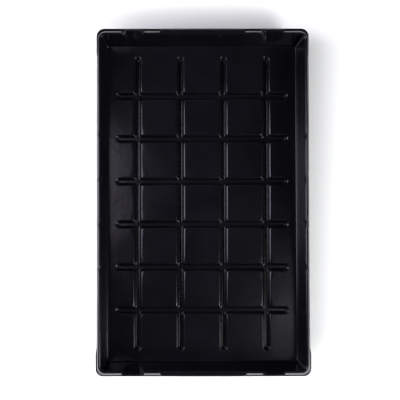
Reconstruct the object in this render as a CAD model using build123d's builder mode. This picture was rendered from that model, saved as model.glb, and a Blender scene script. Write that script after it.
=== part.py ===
"""Flat seed tray: one thin sheet of black plastic, vacuum formed into a shallow, grooved tray.

The real tray is a single formed sheet. It's built here the way its mould shapes it, as a tub and a
rim, and is then divided where it is folded into named zones that meet face to face.

Frame: millimetres, +X to the right, +Y to the back (along the length), +Z up. The origin is on the
ground under the middle of the tray.
"""

import os
from math import atan, cos, degrees, radians, tan

from build123d import *

os.makedirs("parts", exist_ok=True)

# ---------------------------------------------------------------- driving dimensions
SHEET = 1.0  # thickness of the plastic
TRAY_WIDTH = 237.5  # across X, over the flared corners of the rim
TRAY_LENGTH = 386.0  # along Y, over the rim
SIDE_SPAN = 235.0  # across X, over the rims of the long sides
TUB_DEPTH = 50.0  # from the rim's top down to the floor
WALL_DRAFT = 3.5  # degrees that the walls lean outwards

GROOVE_DEPTH = 6.5  # below the floor; the undersides of the grooves are the tray's feet
GROOVE_WIDTH = 9.0  # at the floor
GROOVE_DRAFT = 20.0  # degrees from the vertical
GROOVE_PITCH = 50.0
LONG_GROOVES = 4
CROSS_GROOVES = 6
LONG_GROOVE_LENGTH = 345.0
CROSS_GROOVE_LENGTH = 202.0

FLOOR_CORNER_RADIUS = 3.0  # in plan, where two walls meet at the floor
FLOOR_FILLET = 2.5  # inside radius from the floor up into the walls

SIDE_RIM_WIDTH = 4.0  # from the opening to the trimmed edge, on the long sides
END_RIM_WIDTH = 6.4  # the same on the short ends
SIDE_LAND = 3.4  # flat part of the side rims
END_LAND = 2.4  # flat part of the end rims, at the corners and beside the pockets
WIDE_LAND = 5.4  # flat part of the end rims, in the middle and behind the pockets
SKIRT_DROP = 7.0  # height of the turned-down skirt
CORNER_REACH = 28.0  # how far from each end the flared corners of the rim run
TRIM_CORNER_RADIUS = 9.0
LAND_CORNER_RADIUS = 6.5
HANDLE_WIDTH = 93.0  # wide middle stretch of each end rim

POCKET_OFFSET = 78.0  # from the middle of an end to the middle of a stacking pocket
POCKET_WIDTH = 23.5
POCKET_FOOT_WIDTH = 10.0
POCKET_DEPTH = 3.0
POCKET_HEIGHT = 32.0

DIMPLE_OFFSETS = (-75.0, -25.0, 25.0, 75.0)  # stacking dimples along each long side
DIMPLE_WIDTH = 8.0
DIMPLE_FOOT_WIDTH = 4.0
DIMPLE_DEPTH = 0.9
DIMPLE_HEIGHT = 7.0

BULGE_FLARE = 1.5  # how much wider a pocket or dimple is where it leaves the wall
BULGE_ROOT = 8.0  # how far its solid reaches back over the tub
BULGE_OVERLAP = 0.2  # keeps its foot just inside the wall, so that it comes out cleanly

# ---------------------------------------------------------------- worked-out sizes
FLOOR_UNDERSIDE = GROOVE_DEPTH
FLOOR_TOP = FLOOR_UNDERSIDE + SHEET
RIM_TOP = FLOOR_TOP + TUB_DEPTH
RIM_BOTTOM = RIM_TOP - SKIRT_DROP

OPENING_WIDTH = SIDE_SPAN - 2 * SIDE_RIM_WIDTH
OPENING_LENGTH = TRAY_LENGTH - 2 * END_RIM_WIDTH
WALL_SLOPE = tan(radians(WALL_DRAFT))
WALL_ACROSS = SHEET / cos(radians(WALL_DRAFT))  # thickness of a leaning wall, measured level
GROOVE_ACROSS = SHEET / cos(radians(GROOVE_DRAFT))  # the same for a groove's wall

FLOOR_WIDTH = OPENING_WIDTH - 2 * TUB_DEPTH * WALL_SLOPE
FLOOR_LENGTH = OPENING_LENGTH - 2 * TUB_DEPTH * WALL_SLOPE
UNDERSIDE_GROWTH = 2 * (WALL_ACROSS - SHEET * WALL_SLOPE)

# The floor panel is the flat part of the floor, inside the fillets all round.
PANEL_HALF_WIDTH = FLOOR_WIDTH / 2 - FLOOR_FILLET
PANEL_HALF_LENGTH = FLOOR_LENGTH / 2 - FLOOR_FILLET

LAND_WIDTH = OPENING_WIDTH + 2 * SIDE_LAND
LAND_LENGTH = OPENING_LENGTH + 2 * END_LAND
SIDE_SKIRT_DRAFT = degrees(atan((SIDE_RIM_WIDTH - SIDE_LAND) / SKIRT_DROP))
WIDE_SKIRT_RUN = END_RIM_WIDTH - WIDE_LAND
WIDE_SKIRT_DRAFT = degrees(atan(WIDE_SKIRT_RUN / SKIRT_DROP))
STRAIGHT_LENGTH = TRAY_LENGTH - 2 * CORNER_REACH

LONG_GROOVE_SPOTS = GridLocations(GROOVE_PITCH, 0, LONG_GROOVES, 1)
CROSS_GROOVE_SPOTS = GridLocations(0, GROOVE_PITCH, 1, CROSS_GROOVES)


# ---------------------------------------------------------------- forming the tub
def crossing_grooves(height, depth, growth):
    """All the grooves as one solid that goes down by depth from the given height, where it is
    growth wider on each side than the grooves are at the floor."""
    with BuildPart() as grooves:
        for spots, length, turn in (
            (LONG_GROOVE_SPOTS, LONG_GROOVE_LENGTH, 90),
            (CROSS_GROOVE_SPOTS, CROSS_GROOVE_LENGTH, 0),
        ):
            for spot in spots:
                with BuildSketch(Plane.XY.offset(height)) as mouth:
                    with Locations(spot):
                        SlotOverall(length + 2 * growth, GROOVE_WIDTH + 2 * growth, rotation=turn)
                extrude(mouth.sketch, amount=-depth, taper=GROOVE_DRAFT)
    return grooves.part


def wall_bulge(edge, top_width, foot_width, depth, height, growth):
    """A wedge that swells out of a wall below the rim and dies away downwards.

    The plane edge stands at the opening's edge, level with the rim's top, with its Y axis pointing
    outwards. The wedge reaches back over the tub by BULGE_ROOT.
    """
    foot = Plane(edge.origin - Vector(0, 0, height), x_dir=edge.x_dir, z_dir=edge.z_dir)
    foot_reach = -height * WALL_SLOPE - BULGE_OVERLAP
    with BuildPart() as bulge:
        for level, width, reach in ((edge, top_width, depth), (foot, foot_width, foot_reach)):
            half_width = width / 2 + growth
            with BuildSketch(level):
                with BuildLine():
                    Polyline(
                        (-half_width - BULGE_FLARE, -BULGE_ROOT),
                        (half_width + BULGE_FLARE, -BULGE_ROOT),
                        (half_width, reach + growth),
                        (-half_width, reach + growth),
                        close=True,
                    )
                make_face()
        loft(ruled=True)
    return bulge.part


def add_bulges(growth):
    """Add every stacking pocket and dimple to the part that is being built."""
    for outward in (1, -1):
        for side in (1, -1):
            spot = (side * POCKET_OFFSET, outward * OPENING_LENGTH / 2, RIM_TOP)
            edge = Plane(spot, x_dir=(outward, 0, 0), z_dir=(0, 0, 1))
            sizes = (POCKET_WIDTH, POCKET_FOOT_WIDTH, POCKET_DEPTH, POCKET_HEIGHT)
            add(wall_bulge(edge, *sizes, growth))
        for offset in DIMPLE_OFFSETS:
            spot = (outward * OPENING_WIDTH / 2, offset, RIM_TOP)
            edge = Plane(spot, x_dir=(0, -outward, 0), z_dir=(0, 0, 1))
            sizes = (DIMPLE_WIDTH, DIMPLE_FOOT_WIDTH, DIMPLE_DEPTH, DIMPLE_HEIGHT)
            add(wall_bulge(edge, *sizes, growth))


with BuildPart() as tub_outside:
    with BuildSketch(Plane.XY.offset(FLOOR_UNDERSIDE)):
        RectangleRounded(
            FLOOR_WIDTH + UNDERSIDE_GROWTH,
            FLOOR_LENGTH + UNDERSIDE_GROWTH,
            FLOOR_CORNER_RADIUS + SHEET,
        )
    extrude(amount=TUB_DEPTH + SHEET, taper=-WALL_DRAFT)
    fillet(tub_outside.faces().sort_by(Axis.Z)[0].edges(), FLOOR_FILLET + SHEET)
    add(crossing_grooves(FLOOR_TOP, FLOOR_TOP, GROOVE_ACROSS))
    add_bulges(SHEET)

with BuildPart() as tub_inside:
    with BuildSketch(Plane.XY.offset(FLOOR_TOP)):
        RectangleRounded(FLOOR_WIDTH, FLOOR_LENGTH, FLOOR_CORNER_RADIUS)
    extrude(amount=TUB_DEPTH, taper=-WALL_DRAFT)
    fillet(tub_inside.faces().sort_by(Axis.Z)[0].edges(), FLOOR_FILLET)
    add(crossing_grooves(FLOOR_TOP, GROOVE_DEPTH, 0))
    add_bulges(0)

with BuildPart() as tub:
    add(tub_outside.part)
    add(tub_inside.part, mode=Mode.SUBTRACT)


# ---------------------------------------------------------------- forming the rim
def rim_block(inset):
    """The rim's outer form, or the space under the rim when it is inset by the sheet."""
    land_top = RIM_TOP - inset
    height = land_top - RIM_BOTTOM
    with BuildPart() as block:
        # the flared skirt, which is kept at the corners and the ends
        with BuildSketch(Plane.XY.offset(RIM_BOTTOM)):
            RectangleRounded(
                TRAY_WIDTH - 2 * inset, TRAY_LENGTH - 2 * inset, TRIM_CORNER_RADIUS - inset
            )
        with BuildSketch(Plane.XY.offset(land_top)):
            RectangleRounded(
                LAND_WIDTH - 2 * inset, LAND_LENGTH - 2 * inset, LAND_CORNER_RADIUS - inset
            )
        loft(ruled=True)
        with Locations((0, 0, RIM_BOTTOM + height / 2)):
            Box(TRAY_WIDTH, STRAIGHT_LENGTH, height, mode=Mode.SUBTRACT)

        # the steep skirt of the long sides
        with BuildSketch(Plane.XY.offset(RIM_BOTTOM)) as sides:
            Rectangle(SIDE_SPAN - 2 * inset, STRAIGHT_LENGTH + CORNER_REACH)
        extrude(sides.sketch, amount=height, taper=SIDE_SKIRT_DRAFT)

        # the wide land and steep skirt in the middle of each end and behind each pocket
        pocket_stretch = POCKET_WIDTH + 2 * BULGE_FLARE
        for width, offset in (
            (HANDLE_WIDTH, 0),
            (pocket_stretch, -POCKET_OFFSET),
            (pocket_stretch, POCKET_OFFSET),
        ):
            with BuildSketch(Plane.XY.offset(RIM_BOTTOM)) as stretch:
                with Locations((offset, 0)):
                    Rectangle(width + 2 * WIDE_SKIRT_RUN - 2 * inset, TRAY_LENGTH - 2 * inset)
            extrude(stretch.sketch, amount=height, taper=WIDE_SKIRT_DRAFT)
    return block.part


with BuildPart() as rim:
    add(rim_block(0))
    add(rim_block(SHEET), mode=Mode.SUBTRACT)
    add(tub_outside.part, mode=Mode.SUBTRACT)


# ---------------------------------------------------------------- dividing the sheet into zones
def write_zone(formed, label, x_range, y_range):
    """Cut one named zone out of a formed shape and write it."""
    low_x, high_x = x_range
    low_y, high_y = y_range
    with BuildPart() as piece:
        add(formed.part)
        with Locations(((low_x + high_x) / 2, (low_y + high_y) / 2, RIM_TOP / 2)):
            Box(high_x - low_x, high_y - low_y, RIM_TOP, mode=Mode.INTERSECT)
    piece.part.label = label
    export_step(piece.part, f"parts/{label}.step")


middle_x = (-PANEL_HALF_WIDTH, PANEL_HALF_WIDTH)
middle_y = (-PANEL_HALF_LENGTH, PANEL_HALF_LENGTH)
sides = {
    "left": (-TRAY_WIDTH / 2, -PANEL_HALF_WIDTH),
    "right": (PANEL_HALF_WIDTH, TRAY_WIDTH / 2),
}
ends = {
    "front": (-TRAY_LENGTH / 2, -PANEL_HALF_LENGTH),
    "back": (PANEL_HALF_LENGTH, TRAY_LENGTH / 2),
}

write_zone(tub, "floor_panel", middle_x, middle_y)
for side, side_x in sides.items():
    write_zone(tub, f"side_wall_{side}", side_x, middle_y)
    write_zone(rim, f"side_rim_{side}", side_x, middle_y)
for end, end_y in ends.items():
    write_zone(tub, f"end_wall_{end}", middle_x, end_y)
    write_zone(rim, f"end_rim_{end}", middle_x, end_y)
    for side, side_x in sides.items():
        write_zone(tub, f"wall_corner_{end}_{side}", side_x, end_y)
        write_zone(rim, f"rim_corner_{end}_{side}", side_x, end_y)
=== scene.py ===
"""Looks of the flat seed tray: one thin sheet of black plastic, vacuum formed over a mould.

The sheet is formed here by formula, as a mould would do it. A grid of lines makes the grooved floor,
and a ring of lines carries its edge on up the walls, over the fold and down the skirt of the rim. Then
the sheet gets its thickness and is divided into the same zones as the CAD part. The sizes of the tray
are in millimetres until its meshes are made, which are in metres. The table, the lights and the
camera are in metres from the start.
"""

import math

import bpy
import numpy as np
from mathutils import Euler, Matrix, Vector, noise


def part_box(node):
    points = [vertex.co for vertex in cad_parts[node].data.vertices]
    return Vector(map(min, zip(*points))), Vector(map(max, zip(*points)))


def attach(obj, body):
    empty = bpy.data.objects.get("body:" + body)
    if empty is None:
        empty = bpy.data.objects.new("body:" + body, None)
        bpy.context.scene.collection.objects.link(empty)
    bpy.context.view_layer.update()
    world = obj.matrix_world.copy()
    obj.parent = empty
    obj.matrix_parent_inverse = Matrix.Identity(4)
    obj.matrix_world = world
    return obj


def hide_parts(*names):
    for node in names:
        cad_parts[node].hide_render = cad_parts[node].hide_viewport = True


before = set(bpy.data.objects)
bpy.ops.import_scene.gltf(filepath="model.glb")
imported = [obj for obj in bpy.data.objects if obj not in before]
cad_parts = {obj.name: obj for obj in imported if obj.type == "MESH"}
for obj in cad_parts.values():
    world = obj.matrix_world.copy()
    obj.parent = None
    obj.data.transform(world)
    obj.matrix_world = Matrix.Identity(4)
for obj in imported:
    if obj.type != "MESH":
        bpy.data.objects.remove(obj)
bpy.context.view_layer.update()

METRE = 1000.0  # millimetres

# ---------------------------------------------------------------- sizes that the frame gives
FLOOR_BOX = [[v * METRE for v in corner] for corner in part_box("floor_panel")]
SIDE_RIM_BOX = [[v * METRE for v in corner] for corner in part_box("side_rim_right")]
CORNER_RIM_BOX = [[v * METRE for v in corner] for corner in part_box("rim_corner_back_right")]

PANEL_X = FLOOR_BOX[1][0]  # half the width of the flat floor
PANEL_Y = FLOOR_BOX[1][1]  # half its length
FLOOR_TOP = FLOOR_BOX[1][2]
RIM_TOP = SIDE_RIM_BOX[1][2]
RIM_BOTTOM = SIDE_RIM_BOX[0][2]

# from the flat floor out to the trimmed edge, which is cut closer along the sides than at the ends
SIDE_CUT_INSIDE = 0.3
END_CUT_OUTSIDE = 0.5
SIDE_TRIM = SIDE_RIM_BOX[1][0] - PANEL_X - SIDE_CUT_INSIDE
FLARED_TRIM = CORNER_RIM_BOX[1][0] - PANEL_X
END_TRIM = CORNER_RIM_BOX[1][1] - PANEL_Y + END_CUT_OUTSIDE

# ---------------------------------------------------------------- sizes of the forming
SHEET = 1.0
WALL_DRAFT = 3.3  # degrees that the walls lean outwards
WALL_SLOPE = math.tan(math.radians(WALL_DRAFT))

GROOVE_PITCH = 50.0
GROOVE_HALF_WIDTH = 3.3  # where its walls would meet the floor if they had no rounding
GROOVE_DEPTH = FLOOR_TOP - SHEET  # the tray stands on the undersides of its grooves
GROOVE_STEEPNESS = 80.0  # degrees from the level
GROOVE_LIP = 2.4  # radius from the floor into a groove
GROOVE_END_LIP = 1.5  # the same beyond the last cross grooves, where the mould is crisper
END_LIP_CHANGE = 6.0  # over what length one turns into the other
GROOVE_FOOT = 0.9  # radius from a groove's wall into its bottom
CROSSING_ROUNDING = 3.6  # two grooves blend where their distances differ by less than this
LONG_GROOVES = 4
CROSS_GROOVES = 6
LONG_GROOVES_X = [(i - (LONG_GROOVES - 1) / 2) * GROOVE_PITCH for i in range(LONG_GROOVES)]
CROSS_GROOVES_Y = [(i - (CROSS_GROOVES - 1) / 2) * GROOVE_PITCH for i in range(CROSS_GROOVES)]
LONG_GROOVE_REACH = 172.5
CROSS_GROOVE_REACH = 101.0

STRIP_START = LONG_GROOVES_X[-1] + 5.0  # the outer strips start beside the last long grooves
STRIP_DROP = 0.12  # how far they lean down by the side walls

TOE_GAP = 1.53  # between the flat floor's edge and the start of the fillet
TOE_RADIUS = 1.2
OPENING = 5.56  # from the flat floor out to the tub's opening
SIDE_LAND_EDGE = 8.56  # from the flat floor out to where the land would meet the skirt
END_LAND_EDGE = 7.96
WIDE_LAND_EDGE = 11.36  # in the middle of the ends and behind the pockets
TOP_FOLD_RADIUS = 1.8
NARROW_FOLD_RADIUS = 1.3
OUTER_FOLD_RADIUS = 1.2

FLARE_START = 160.0  # where the side skirts begin to flare towards the corners
FLARE_END = 171.0
HANDLE_HALF_WIDTH = 46.5
JOG = 1.6  # how far a step in the rim takes to run across

POCKET_X = 78.0
POCKET_HALF_WIDTH = 12.1  # where it leaves the wall, at the top
POCKET_FLAT_HALF_WIDTH = 8.0  # its flat back, at the top
POCKET_TAPER = 0.5  # share of its width that is lost down to its foot
POCKET_DEPTH = 3.0
POCKET_HEIGHT = 32.0
FLANGE = 0.9  # flat strip that the cutting die leaves round the foot of the skirt
SIDE_FLANGE = 0.35
BACK_FLANGE = 1.8  # the sheet was trimmed a little off its middle
FLANGE_BEND = (0.12, 0.4)  # shares of the flange over which the skirt's foot bends into it
FLANGE_BEND_RISE = 0.15
FRONT_FLARE = 1.0  # how much further the front corners flare

DIMPLES_Y = CROSS_GROOVES_Y[1:-1]
DIMPLE_REACH = 5.5  # half its width, with its soft edge
DIMPLE_DEPTH = 0.9
DIMPLE_HEIGHT = 7.0

CORNER_RADIUS = 8.5

SWAY = 90.0  # length of the waves that the rim makes
SIDE_SWAY_DEPTH = 0.35
END_SWAY_DEPTH = 0.25
RIPPLE = 38.0  # length of the waves in the floor
RIPPLE_DEPTH = 0.12
RIPPLE_START = Vector((9.0, 0.0, 0.0))  # keeps the ripples apart from the sway

# ---------------------------------------------------------------- fineness of the meshes
LARGEST_GAP = 6.0  # between two lines of the floor's grid
SMALLEST_GAP = 0.12  # lines closer than this are left out
EDGE_GAP = 0.3  # and so are lines closer than this to the floor's edge
GROOVE_LINES = 12  # from a groove's middle to its mouth
FOOT_STEPS = 5
LIP_STEPS = 8
TOE_STEPS = 7
TOP_FOLD_STEPS = 6
OUTER_FOLD_STEPS = 5
CORNER_STEPS = 14
POCKET_LINES = (4.0, 5.0, 6.0, 7.0, 7.9, 8.1, 9.0, 10.0)  # out from its middle, closest where it bends
WALL_DEPTHS = (42.0, 37.0, 32.0, 27.0, 22.0, 17.0, 13.0, 10.0, 8.0, 6.5, 5.2, 4.0, 3.0)  # below the rim
SKIRT_SHARES = (0.25, 0.5, 0.75, 0.92)  # of the way down the skirt

# Rows of faces are counted outwards from the flat floor. The rim begins with this one, which is in the
# fold from the wall to the land.
FIRST_RIM_ROW = TOE_STEPS + 1 + len(WALL_DEPTHS) + TOP_FOLD_STEPS // 2


# ---------------------------------------------------------------- small helpers
def smooth_step(low, high, values):
    t = np.clip((values - low) / (high - low), 0.0, 1.0)
    return t * t * (3.0 - 2.0 * t)


def smooth_min(a, b, reach):
    blend = np.clip(reach - np.abs(a - b), 0.0, None) / reach
    return np.minimum(a, b) - blend * blend * reach / 4.0


def filled_lines(wanted, limit):
    """Sorted line positions from -limit to limit: the wanted ones, and more where they lie far apart."""
    inside = [w for w in wanted if abs(w) < limit - EDGE_GAP]
    lines = sorted({round(v, 3) for v in inside + [-limit, limit]})
    kept = [lines[0]]
    for value in lines[1:-1]:
        if value - kept[-1] > SMALLEST_GAP:
            kept.append(value)
    kept.append(lines[-1])
    filled = [kept[0]]
    for value in kept[1:]:
        pieces = math.ceil((value - filled[-1]) / LARGEST_GAP)
        start = filled[-1]
        filled += [start + (value - start) * (i + 1) / pieces for i in range(pieces)]
    return np.array(filled)


# ---------------------------------------------------------------- floor
def arc(centre_u, centre_z, radius, first, last, steps):
    """Points of an arc. Angles are in degrees from the upright, turning outwards."""
    angles = [math.radians(first + (last - first) * i / steps) for i in range(steps + 1)]
    return [(centre_u + radius * math.sin(a), centre_z + radius * math.cos(a)) for a in angles]


def groove_profile(lip_radius):
    """Half a groove's section as (distance from its middle, drop below the floor) pairs."""
    half_turn = math.tan(math.radians(GROOVE_STEEPNESS / 2.0))
    wall_run = GROOVE_DEPTH / math.tan(math.radians(GROOVE_STEEPNESS))
    bottom_edge = GROOVE_HALF_WIDTH - wall_run - GROOVE_FOOT * half_turn
    mouth = GROOVE_HALF_WIDTH + lip_radius * half_turn
    foot = arc(bottom_edge, GROOVE_DEPTH - GROOVE_FOOT, GROOVE_FOOT, 0.0, GROOVE_STEEPNESS, FOOT_STEPS)
    lip = arc(mouth, lip_radius, lip_radius, 180.0 + GROOVE_STEEPNESS, 180.0, LIP_STEPS)
    return foot + lip


GROOVE_MOUTH = groove_profile(GROOVE_LIP)[-1][0]
ACROSS_GROOVE = [GROOVE_MOUTH * i / GROOVE_LINES for i in range(GROOVE_LINES + 1)]


def around(centres, offsets):
    """The places that lie at the offsets on both sides of the centres."""
    return [c + sign * o for c in centres for o in offsets for sign in (1, -1)]


def grid_lines():
    """Lines of the floor's grid, close together where the sheet bends."""
    groove_end = [GROOVE_MOUTH - o for o in ACROSS_GROOVE]
    long_ends = around((0.0,), [LONG_GROOVE_REACH - e for e in groove_end])
    cross_ends = around((0.0,), [CROSS_GROOVE_REACH - e for e in groove_end])
    pocket_edges = [POCKET_HALF_WIDTH + JOG * (i / 4 - 0.5) for i in range(5)]
    pockets = around((POCKET_X,), pocket_edges + list(POCKET_LINES))
    handles = [HANDLE_HALF_WIDTH + JOG * i / 3 for i in range(4)]
    xs = around(LONG_GROOVES_X, ACROSS_GROOVE) + cross_ends + around((0.0,), pockets + handles)
    ys = around(CROSS_GROOVES_Y, ACROSS_GROOVE) + long_ends
    return filled_lines(xs, PANEL_X), filled_lines(ys, PANEL_Y)


def groove_drop(x, y):
    """How far below the floor the formed grooves are at a place."""
    long_run = np.clip(np.abs(y) - (LONG_GROOVE_REACH - GROOVE_MOUTH), 0.0, None)
    cross_run = np.clip(np.abs(x) - (CROSS_GROOVE_REACH - GROOVE_MOUTH), 0.0, None)
    to_long = np.min([np.hypot(x - c, long_run) for c in LONG_GROOVES_X], axis=0)
    to_cross = np.min([np.hypot(cross_run, y - c) for c in CROSS_GROOVES_Y], axis=0)
    distance = smooth_min(to_long, to_cross, CROSSING_ROUNDING)
    soft, crisp = (np.interp(distance, *zip(*groove_profile(r))) for r in (GROOVE_LIP, GROOVE_END_LIP))
    last_cross_groove = CROSS_GROOVES_Y[-1]
    share = smooth_step(last_cross_groove, last_cross_groove + END_LIP_CHANGE, np.abs(y))
    return soft + (crisp - soft) * share


def strip_drop(x):
    """How far the strips outside the long grooves lean down, less and less steeply outwards."""
    out = np.clip(np.abs(x) - STRIP_START, 0.0, None)
    width = PANEL_X - STRIP_START
    return STRIP_DROP * (1.5 * out / width - 0.5 * (out / width) ** 2)


# ---------------------------------------------------------------- walls and rim
def section(foot, land_edge, trim, flange, fold_radius, swell):
    """Outline of the sheet from the flat floor out to the trimmed edge, as (distance out, height) pairs.

    swell gives how far the wall swells out at a depth below the rim, and every section has the same
    number of points.
    """
    # the fillet at the foot, and the wall up to the start of the fold
    points = arc(TOE_GAP, foot + TOE_RADIUS, TOE_RADIUS, 180.0, 90.0 + WALL_DRAFT, TOE_STEPS)
    for depth in WALL_DEPTHS:
        points.append((OPENING - depth * WALL_SLOPE + swell(depth), RIM_TOP - depth))
    edge_u = OPENING + swell(0.0)

    # the fold out to the land, the land, and the fold down into the skirt
    reach = fold_radius * math.tan(math.radians((90.0 - WALL_DRAFT) / 2.0))
    inner_u = edge_u + reach
    points += arc(inner_u, RIM_TOP - fold_radius, fold_radius, WALL_DRAFT - 90.0, 0.0, TOP_FOLD_STEPS)
    skirt_foot_u = trim - flange
    skirt_foot_z = RIM_BOTTOM + SHEET
    skirt_lean = math.degrees(math.atan((skirt_foot_u - land_edge) / (RIM_TOP - skirt_foot_z)))
    turn = 90.0 - skirt_lean
    outer_reach = OUTER_FOLD_RADIUS * math.tan(math.radians(turn / 2.0))
    outer_u = land_edge - outer_reach
    points += arc(outer_u, RIM_TOP - OUTER_FOLD_RADIUS, OUTER_FOLD_RADIUS, 0.0, turn, OUTER_FOLD_STEPS)

    # the skirt, and the flange at its foot
    fold_u, fold_z = points[-1]
    for share in SKIRT_SHARES:
        along_u = fold_u + (skirt_foot_u - fold_u) * share
        points.append((along_u, fold_z + (skirt_foot_z - fold_z) * share))
    bend_start, bend_end = FLANGE_BEND
    points.append((skirt_foot_u + flange * bend_start, skirt_foot_z + FLANGE_BEND_RISE))
    points.append((skirt_foot_u + flange * bend_end, skirt_foot_z))
    points.append((trim, skirt_foot_z))
    return np.array(points)


def pocket_share(x, depth):
    """From 0 beside a stacking pocket to 1 at its back, at a depth below the rim."""
    away = abs(abs(x) - POCKET_X)
    narrowing = 1.0 - POCKET_TAPER * depth / POCKET_HEIGHT
    flat = POCKET_FLAT_HALF_WIDTH * narrowing
    edge = POCKET_HALF_WIDTH * narrowing
    across = min(max((edge - away) / (edge - flat), 0.0), 1.0)
    return across * max(0.0, 1.0 - depth / POCKET_HEIGHT)


def side_section(y):
    """Section through a long side."""
    flare = float(smooth_step(FLARE_START, FLARE_END, abs(y)))
    flared = FLARED_TRIM + (FRONT_FLARE if y < 0.0 else 0.0)
    trim = SIDE_TRIM + (flared - SIDE_TRIM) * flare
    flange = SIDE_FLANGE + (FLANGE - SIDE_FLANGE) * flare
    nearest = min(abs(y - d) for d in DIMPLES_Y)
    bulge = DIMPLE_DEPTH * (1.0 - float(smooth_step(0.0, DIMPLE_REACH, nearest)))

    def swell(depth):
        return bulge * float(smooth_step(0.0, DIMPLE_HEIGHT, DIMPLE_HEIGHT - depth))

    return section(FLOOR_TOP - STRIP_DROP, SIDE_LAND_EDGE, trim, flange, TOP_FOLD_RADIUS, swell)


def end_section(x, end):
    """Section through a short end. end is 1 at the back and -1 at the front."""
    beside_pocket = abs(abs(x) - POCKET_X)
    pocket_step = smooth_step(POCKET_HALF_WIDTH - JOG / 2, POCKET_HALF_WIDTH + JOG / 2, beside_pocket)
    behind = 1.0 - float(pocket_step)
    handle = 1.0 - float(smooth_step(HANDLE_HALF_WIDTH, HANDLE_HALF_WIDTH + JOG, abs(x)))
    land_edge = END_LAND_EDGE + (WIDE_LAND_EDGE - END_LAND_EDGE) * max(behind, handle)
    flange = BACK_FLANGE if end > 0 else FLANGE
    trim = END_TRIM + flange - FLANGE

    def swell(depth):
        return POCKET_DEPTH * pocket_share(x, depth)

    foot = FLOOR_TOP - float(strip_drop(np.array(x)))
    return section(foot, land_edge, trim, flange, NARROW_FOLD_RADIUS, swell)


# ---------------------------------------------------------------- the whole top surface
class Sheet:
    """The top surface of the sheet: its points, and its faces by zone."""

    def __init__(self):
        self.points = []
        self.zones = {}

    def add_points(self, points):
        first = len(self.points)
        self.points += [tuple(p) for p in points]
        return list(range(first, len(self.points)))

    def add_face(self, zone, corners):
        kept = [c for i, c in enumerate(corners) if c != corners[i - 1]]
        if len(kept) > 2:
            self.zones.setdefault(zone, []).append(kept)


def form_floor(sheet, xs, ys):
    """The grooved floor. Returns the index of each grid point."""
    grid_x, grid_y = np.meshgrid(xs, ys)
    height = FLOOR_TOP - groove_drop(grid_x, grid_y) - strip_drop(grid_x)
    points = np.stack([grid_x.ravel(), grid_y.ravel(), height.ravel()], axis=1)
    index = np.array(sheet.add_points(points)).reshape(grid_x.shape)
    for row in range(len(ys) - 1):
        for column in range(len(xs) - 1):
            here = index[row, column]
            right = index[row, column + 1]
            above = index[row + 1, column]
            opposite = index[row + 1, column + 1]
            sheet.add_face("floor_panel", [here, right, opposite, above])
    return index


def rounded_corner(side_u, end_u, share):
    """A point on the way round a corner, from side_u out from the side to end_u out from the end."""
    radius = min(side_u, end_u, CORNER_RADIUS)
    straight_part = 2.0 / CORNER_STEPS  # the first two steps and the last two don't turn
    if share <= straight_part:
        return side_u, (end_u - radius) * share / straight_part
    if share >= 1.0 - straight_part:
        return (side_u - radius) * (1.0 - share) / straight_part, end_u
    angle = math.radians(90.0 * (share - straight_part) / (1.0 - 2.0 * straight_part))
    return side_u - radius + radius * math.cos(angle), end_u - radius + radius * math.sin(angle)


def form_ring(sheet, xs, ys, index):
    """The walls and the rim, as columns of points that start from the edge of the floor's grid."""
    stations = []  # first point's index, section's points, and the zone that follows

    def straight(line, side, start):
        for place, spot in zip(line, start):
            if side in ("right", "left"):
                sign = 1.0 if side == "right" else -1.0
                outline = side_section(place)
                column = [(sign * (PANEL_X + u), place, z) for u, z in outline]
            else:
                sign = 1.0 if side == "back" else -1.0
                outline = end_section(place, sign)
                column = [(place, sign * (PANEL_Y + u), z) for u, z in outline]
            stations.append((spot, column, side))

    def corner(sign_x, sign_y, spot, turning_from_side, name):
        side = side_section(sign_y * PANEL_Y)
        end = end_section(PANEL_X, sign_y)
        for step in range(1, CORNER_STEPS):
            share = step / CORNER_STEPS
            if not turning_from_side:
                share = 1.0 - share
            column = []
            for (side_u, side_z), (end_u, end_z) in zip(side, end):
                across, along = rounded_corner(side_u, end_u, share)
                height = side_z + (end_z - side_z) * share
                column.append((sign_x * (PANEL_X + across), sign_y * (PANEL_Y + along), height))
            stations.append((spot, column, name))

    # anticlockwise, seen from above
    straight(ys, "right", index[:, -1])
    corner(1, 1, index[-1, -1], True, "back_right")
    straight(xs[::-1], "back", index[-1, ::-1])
    corner(-1, 1, index[-1, 0], False, "back_left")
    straight(ys[::-1], "left", index[::-1, 0])
    corner(-1, -1, index[0, 0], True, "front_left")
    straight(xs, "front", index[0, :])
    corner(1, -1, index[0, -1], False, "front_right")

    columns = [[spot] + sheet.add_points(column) for spot, column, _ in stations]
    for number, (spot, _, place) in enumerate(stations):
        following = (number + 1) % len(stations)
        next_place = stations[following][2]
        corner_place = next((p for p in (place, next_place) if "_" in p), None)
        for row in range(len(columns[number]) - 1):
            part = "wall" if row < FIRST_RIM_ROW else "rim"
            if corner_place:
                zone = f"{part}_corner_{corner_place}"
            elif place in ("left", "right"):
                zone = f"side_{part}_{place}"
            else:
                zone = f"end_{part}_{place}"
            a, b = columns[number], columns[following]
            sheet.add_face(zone, [a[row], a[row + 1], b[row + 1], b[row]])


def settle(points):
    """Small unevenness of a sheet that was heated, drawn into a mould and cut out."""
    moved = points.copy()
    for i, (x, y, z) in enumerate(points):
        spot = Vector((x, y, z))
        height = (z - FLOOR_TOP) / (RIM_TOP - FLOOR_TOP)
        rise = max(height, 0.0)
        sway = noise.noise(spot / SWAY)
        moved[i, 2] += RIPPLE_DEPTH * noise.noise(spot / RIPPLE + RIPPLE_START) * (1.0 - rise)
        if abs(x) > abs(y) * PANEL_X / PANEL_Y:
            moved[i, 0] += SIDE_SWAY_DEPTH * sway * rise
        else:
            moved[i, 1] += END_SWAY_DEPTH * sway * rise
    return moved


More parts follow.
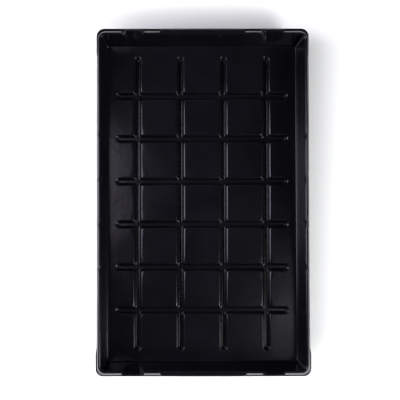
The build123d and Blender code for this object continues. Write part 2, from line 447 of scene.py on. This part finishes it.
# ---------------------------------------------------------------- meshes
def point_normals(points, faces):
    """Smooth unit normals of a surface, one for each point."""
    normals = np.zeros_like(points)
    for face in faces:
        loop = points[face]
        area = np.zeros(3)
        for i in range(1, len(face) - 1):
            area += np.cross(loop[i] - loop[0], loop[i + 1] - loop[0])
        for corner in face:
            normals[corner] += area
    return normals / np.linalg.norm(normals, axis=1)[:, None]


def thicken(zone_faces):
    """Faces of one closed piece: top, underside, and the strip round their edge."""
    used = sorted({corner for face in zone_faces for corner in face})
    number = {corner: i for i, corner in enumerate(used)}
    count = len(used)
    top = [[number[c] for c in face] for face in zone_faces]
    under = [[c + count for c in reversed(face)] for face in top]
    edges = {}
    for face in top:
        for i, corner in enumerate(face):
            edge = (face[i - 1], corner)
            if (corner, face[i - 1]) in edges:
                del edges[(corner, face[i - 1])]
            else:
                edges[edge] = True
    strip = [[b, a, a + count, b + count] for a, b in edges]
    return used, top, under, strip


def make_piece(name, points, normals, zone_faces, material):
    """One zone of the sheet, a sheet's thickness deep under its top surface."""
    used, top, under, strip = thicken(zone_faces)
    outer = points[used]
    inner = outer - normals[used] * SHEET
    mesh = bpy.data.meshes.new(name)
    mesh.from_pydata(np.concatenate([outer, inner]) / METRE, [], top + under + strip)
    loop_normals = []
    for face in top:
        loop_normals += [normals[used[c]] for c in face]
    for face in under:
        loop_normals += [-normals[used[c - len(used)]] for c in face]
    for polygon in mesh.polygons[len(top) + len(under):]:
        loop_normals += [polygon.normal] * len(polygon.vertices)
    mesh.polygons.foreach_set("use_smooth", [True] * len(mesh.polygons))
    mesh.normals_split_custom_set([tuple(n) for n in loop_normals])
    mesh.materials.append(material)
    piece = bpy.data.objects.new(name, mesh)
    bpy.context.collection.objects.link(piece)
    return piece


# ---------------------------------------------------------------- materials
def new_material(name):
    material = bpy.data.materials.new(name)
    material.use_nodes = True
    nodes = material.node_tree.nodes
    return material, nodes, material.node_tree.links, nodes["Principled BSDF"]


def black_plastic():
    """Satin black formed plastic: a fine grain, a little orange peel and uneven gloss."""
    material, nodes, links, surface = new_material("black_formed_plastic")
    surface.inputs["IOR"].default_value = 1.5
    coordinates = nodes.new("ShaderNodeTexCoord")

    def noise_field(scale, detail):
        field = nodes.new("ShaderNodeTexNoise")
        field.inputs["Scale"].default_value = scale
        field.inputs["Detail"].default_value = detail
        links.new(coordinates.outputs["Object"], field.inputs["Vector"])
        return field.outputs["Fac"]

    def spread(source, low, high):
        """A noise's usual range, which is narrower than 0 to 1, spread over another range."""
        change = nodes.new("ShaderNodeMapRange")
        change.inputs["From Min"].default_value = 0.3
        change.inputs["From Max"].default_value = 0.7
        change.inputs["To Min"].default_value = low
        change.inputs["To Max"].default_value = high
        links.new(source, change.inputs["Value"])
        return change.outputs["Result"]

    tint = nodes.new("ShaderNodeValToRGB")
    tint.color_ramp.elements[0].position = 0.35
    tint.color_ramp.elements[0].color = (0.0035, 0.0033, 0.0042, 1.0)
    tint.color_ramp.elements[1].position = 0.7
    tint.color_ramp.elements[1].color = (0.0054, 0.0051, 0.0063, 1.0)
    links.new(noise_field(22.0, 4.0), tint.inputs["Fac"])
    links.new(tint.outputs["Color"], surface.inputs["Base Color"])

    links.new(spread(noise_field(35.0, 5.0), 0.15, 0.19), surface.inputs["Roughness"])

    grain = nodes.new("ShaderNodeBump")
    grain.inputs["Strength"].default_value = 0.18
    grain.inputs["Distance"].default_value = 0.00006
    links.new(noise_field(1400.0, 3.0), grain.inputs["Height"])
    peel = nodes.new("ShaderNodeBump")
    peel.inputs["Strength"].default_value = 0.25
    peel.inputs["Distance"].default_value = 0.0002
    links.new(noise_field(180.0, 2.0), peel.inputs["Height"])
    links.new(grain.outputs["Normal"], peel.inputs["Normal"])
    links.new(peel.outputs["Normal"], surface.inputs["Normal"])
    return material


def pale_floor():
    """Matt white table top."""
    material, _, _, surface = new_material("pale_floor")
    surface.inputs["Roughness"].default_value = 0.9
    surface.inputs["Base Color"].default_value = (0.86, 0.875, 0.845, 1.0)
    surface.inputs["Specular IOR Level"].default_value = 0.2
    return material


# ---------------------------------------------------------------- the tray
def build_tray():
    """The sheet as one piece for each zone, all riding on the one body."""
    xs, ys = grid_lines()
    sheet = Sheet()
    index = form_floor(sheet, xs, ys)
    form_ring(sheet, xs, ys, index)
    points = settle(np.array(sheet.points))
    every_face = [face for faces in sheet.zones.values() for face in faces]
    normals = point_normals(points, every_face)
    plastic = black_plastic()
    pieces = []
    for zone, faces in sheet.zones.items():
        piece = make_piece(f"formed_{zone}", points, normals, faces, plastic)
        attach(piece, "root")
        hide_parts(zone)
        pieces.append(piece)
    return pieces


tray = build_tray()


# ---------------------------------------------------------------- stage, lights and camera
def build_floor():
    """A level table top, as a grid of squares."""
    size = 3.0
    steps = 12
    line = [size * (i / steps - 0.5) for i in range(steps + 1)]
    verts = [(x, y, 0.0) for y in line for x in line]
    row = steps + 1
    firsts = [row * r + c for r in range(steps) for c in range(steps)]
    faces = [(first, first + 1, first + row + 1, first + row) for first in firsts]
    mesh = bpy.data.meshes.new("stage_floor")
    mesh.from_pydata(verts, [], faces)
    mesh.materials.append(pale_floor())
    floor = bpy.data.objects.new("stage_floor", mesh)
    bpy.context.collection.objects.link(floor)
    return floor


LAMP_DISTANCE = 1.35
LAMP_AIM = Vector((0.0, 0.0, 0.02))


def softbox(name, tilt, bearing, size, radiance, colour, only_on=None, mirrored=True):
    """Square softbox on a dome round the tray, facing it.

    tilt is its angle from the upright, bearing its direction on the table, anticlockwise from +X, both
    in degrees. A lamp that isn't mirrored lights surfaces without showing in their gloss, and only_on
    keeps its light to some of the objects.
    """
    tilt = math.radians(tilt)
    bearing = math.radians(bearing)
    level = math.sin(tilt)
    out = Vector((level * math.cos(bearing), level * math.sin(bearing), math.cos(tilt)))
    lamp = bpy.data.lights.new(name, "AREA")
    lamp.shape = "SQUARE"
    lamp.size = size
    lamp.energy = math.pi * size * size * radiance
    lamp.color = colour
    holder = bpy.data.objects.new(name, lamp)
    holder.location = LAMP_AIM + out * LAMP_DISTANCE
    holder.rotation_euler = (-out).to_track_quat("-Z", "Y").to_euler()
    holder.visible_glossy = mirrored
    bpy.context.collection.objects.link(holder)
    if only_on:
        receivers = bpy.data.collections.new(f"{name}_receivers")
        for thing in only_on:
            receivers.objects.link(thing)
        holder.light_linking.receiver_collection = receivers


def surroundings():
    """A pale room that is only seen behind the table: all the light comes from the lamps."""
    world = bpy.data.worlds.new("surroundings")
    bpy.context.scene.world = world
    world.use_nodes = True
    world.node_tree.nodes["Background"].inputs["Color"].default_value = (0.9, 0.9, 0.9, 1.0)
    world.cycles_visibility.diffuse = False
    world.cycles_visibility.glossy = False


BLUISH = (0.86, 0.80, 1.0)
NEUTRAL = (0.97, 0.96, 1.0)
WHITE = (0.99, 1.0, 0.97)

table = [build_floor()]
surroundings()
softbox("key", tilt=17.0, bearing=170.0, size=0.30, radiance=3.9, colour=BLUISH)
softbox("left_wide", tilt=36.0, bearing=174.0, size=0.50, radiance=7.5, colour=BLUISH)
softbox("left_low", tilt=65.0, bearing=180.0, size=0.50, radiance=3.5, colour=BLUISH)
softbox(
    "left_fill", tilt=50.0, bearing=180.0, size=0.50, radiance=16.0, colour=BLUISH,
    only_on=tray, mirrored=False,
)
softbox("second", tilt=21.0, bearing=327.0, size=0.30, radiance=1.1, colour=NEUTRAL)
softbox("right_wide", tilt=40.0, bearing=322.0, size=0.45, radiance=11.5, colour=NEUTRAL)
softbox("right_low", tilt=70.0, bearing=332.0, size=0.45, radiance=4.0, colour=BLUISH)
softbox(
    "right_fill", tilt=50.0, bearing=0.0, size=0.50, radiance=17.0, colour=BLUISH,
    only_on=tray, mirrored=False,
)
softbox("right_back", tilt=75.0, bearing=48.0, size=0.42, radiance=0.5, colour=NEUTRAL)
softbox("back", tilt=32.0, bearing=90.0, size=0.34, radiance=0.4, colour=BLUISH)
softbox("table_wash", tilt=46.0, bearing=204.0, size=1.8, radiance=3.3, colour=WHITE, only_on=table)
softbox("table_fill", tilt=50.0, bearing=325.0, size=0.9, radiance=0.4, colour=WHITE, only_on=table)

CAMERA_PLACE = (-0.02567, -0.02153, 1.01268)
CAMERA_TILT = 1.422  # degrees about X and Z: it looks almost straight down
CAMERA_TURN = -0.085
camera_data = bpy.data.cameras.new("camera")
camera_data.lens = 77.6
camera_data.sensor_width = 36.0
camera_data.shift_x = 0.05
camera = bpy.data.objects.new("camera", camera_data)
camera.location = CAMERA_PLACE
camera.rotation_euler = Euler((math.radians(CAMERA_TILT), 0.0, math.radians(CAMERA_TURN)))
bpy.context.collection.objects.link(camera)
bpy.context.scene.camera = camera
bpy.context.scene.view_settings.view_transform = "Standard"
